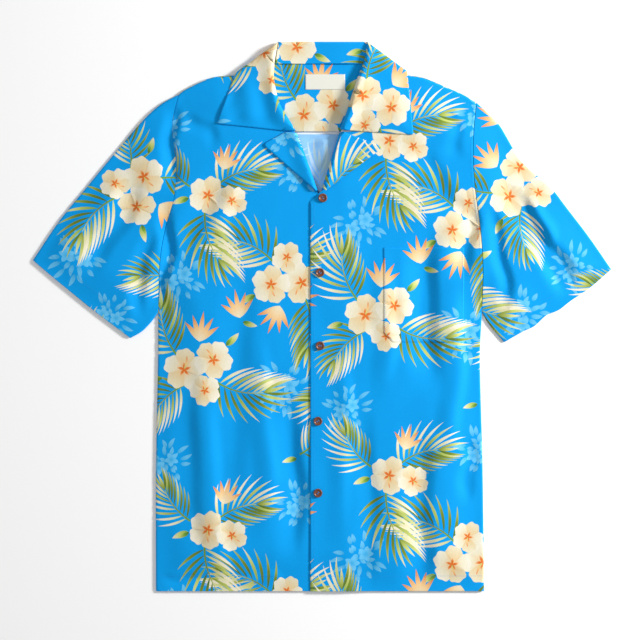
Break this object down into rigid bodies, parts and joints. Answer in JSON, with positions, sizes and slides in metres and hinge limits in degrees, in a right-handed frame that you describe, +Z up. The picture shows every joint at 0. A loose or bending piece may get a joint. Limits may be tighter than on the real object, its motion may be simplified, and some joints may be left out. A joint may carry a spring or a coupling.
{
  "type": "hawaiian shirt",
  "caption": "Short-sleeved camp-collar shirt with a botanical print, chest pocket and coconut buttons, buttoned and laid flat face up.",
  "frame": {"origin": "on the surface the shirt lies on, under the centre of its box", "axes": "+X to the wearer's left (across the shirt, sleeve to sleeve), +Y from the hem to the neck, +Z up off the surface; the shirt lies face up"},
  "size_m": [0.832, 0.7902, 0.0124],
  "materials": {
    "printed_cloth": "azure rayon or cotton poplin, printed",
    "label_tape": "plain woven tape, blank",
    "coconut_shell": "turned and polished coconut shell"
  },
  "bodies": {
    "root": {"back_panel": "printed_cloth", "back_yoke": "printed_cloth", "yoke_lining": "printed_cloth", "front_right": "printed_cloth", "front_left": "printed_cloth", "facing_right": "printed_cloth", "facing_left": "printed_cloth", "collar": "printed_cloth", "chest_pocket": "printed_cloth", "sleeve_right": "printed_cloth", "sleeve_left": "printed_cloth", "neck_label": "label_tape", "button_1": "coconut_shell", "button_2": "coconut_shell", "button_3": "coconut_shell", "button_4": "coconut_shell", "button_5": "coconut_shell"}
  },
  "joints": []
}
